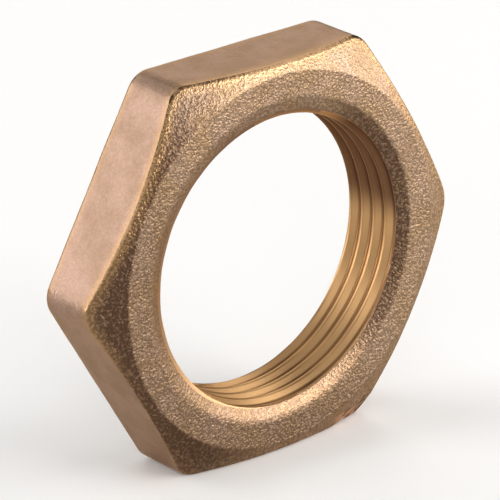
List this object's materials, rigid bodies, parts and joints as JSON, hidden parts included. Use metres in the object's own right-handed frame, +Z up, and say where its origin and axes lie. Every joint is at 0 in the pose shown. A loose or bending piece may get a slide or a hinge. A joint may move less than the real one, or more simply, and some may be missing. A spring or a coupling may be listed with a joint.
{
  "type": "pipe nut",
  "caption": "Cast brass hexagon pipe nut, a thin backnut with a wide female parallel pipe thread, rounded corners, a coned front face and a flat rear face that locks against a fitting.",
  "frame": {"origin": "on the thread axis, halfway through the nut's thickness", "axes": "+Y along the thread axis, from the coned front face to the flat rear face; +Z up, square to the flat that the nut stands on"},
  "size_m": [0.0612, 0.011, 0.054],
  "materials": {
    "cast_brass": "sand-cast and blasted, matt to satin, with a bright cut thread"
  },
  "bodies": {
    "root": {"pipe_nut": "cast_brass"}
  },
  "joints": []
}
